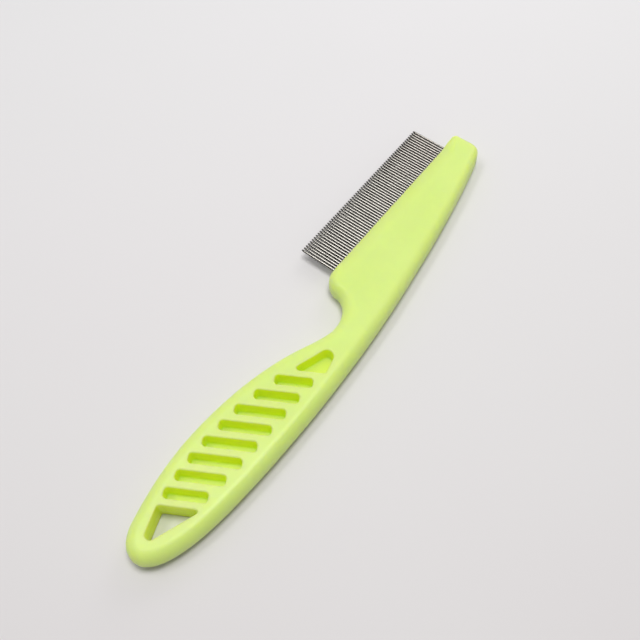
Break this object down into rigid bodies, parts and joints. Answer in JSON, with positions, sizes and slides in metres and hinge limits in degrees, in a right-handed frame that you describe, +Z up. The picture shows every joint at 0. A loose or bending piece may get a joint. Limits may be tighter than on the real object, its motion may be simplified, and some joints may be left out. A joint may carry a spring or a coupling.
{
  "type": "flea comb",
  "caption": "Hand-held flea comb: a moulded plastic handle with slanting grip pockets and a hang hole, and a row of fine round steel teeth along its head.",
  "frame": {"origin": "centre of the footprint, on the lower face that the comb lies on", "axes": "+X along the comb from the grip's tip to the head's far end, +Y the way the teeth point, +Z up through the thickness"},
  "size_m": [0.168, 0.038, 0.008],
  "materials": {
    "lime_plastic": "satin-gloss injection-moulded lime green plastic, slightly translucent",
    "steel_wire": "bright drawn stainless steel wire"
  },
  "bodies": {
    "root": {"handle": "lime_plastic", "teeth_pair_01": "steel_wire", "teeth_pair_02": "steel_wire", "teeth_pair_03": "steel_wire", "teeth_pair_04": "steel_wire", "teeth_pair_05": "steel_wire", "teeth_pair_06": "steel_wire", "teeth_pair_07": "steel_wire", "teeth_pair_08": "steel_wire", "teeth_pair_09": "steel_wire", "teeth_pair_10": "steel_wire", "teeth_pair_11": "steel_wire", "teeth_pair_12": "steel_wire", "teeth_pair_13": "steel_wire", "teeth_pair_14": "steel_wire", "teeth_pair_15": "steel_wire", "teeth_pair_16": "steel_wire", "teeth_pair_17": "steel_wire", "teeth_pair_18": "steel_wire", "teeth_pair_19": "steel_wire", "teeth_pair_20": "steel_wire", "teeth_pair_21": "steel_wire", "teeth_pair_22": "steel_wire", "teeth_pair_23": "steel_wire", "teeth_pair_24": "steel_wire", "teeth_pair_25": "steel_wire", "teeth_pair_26": "steel_wire", "teeth_pair_27": "steel_wire", "teeth_pair_28": "steel_wire", "teeth_pair_29": "steel_wire", "teeth_pair_30": "steel_wire", "teeth_pair_31": "steel_wire"}
  },
  "joints": []
}
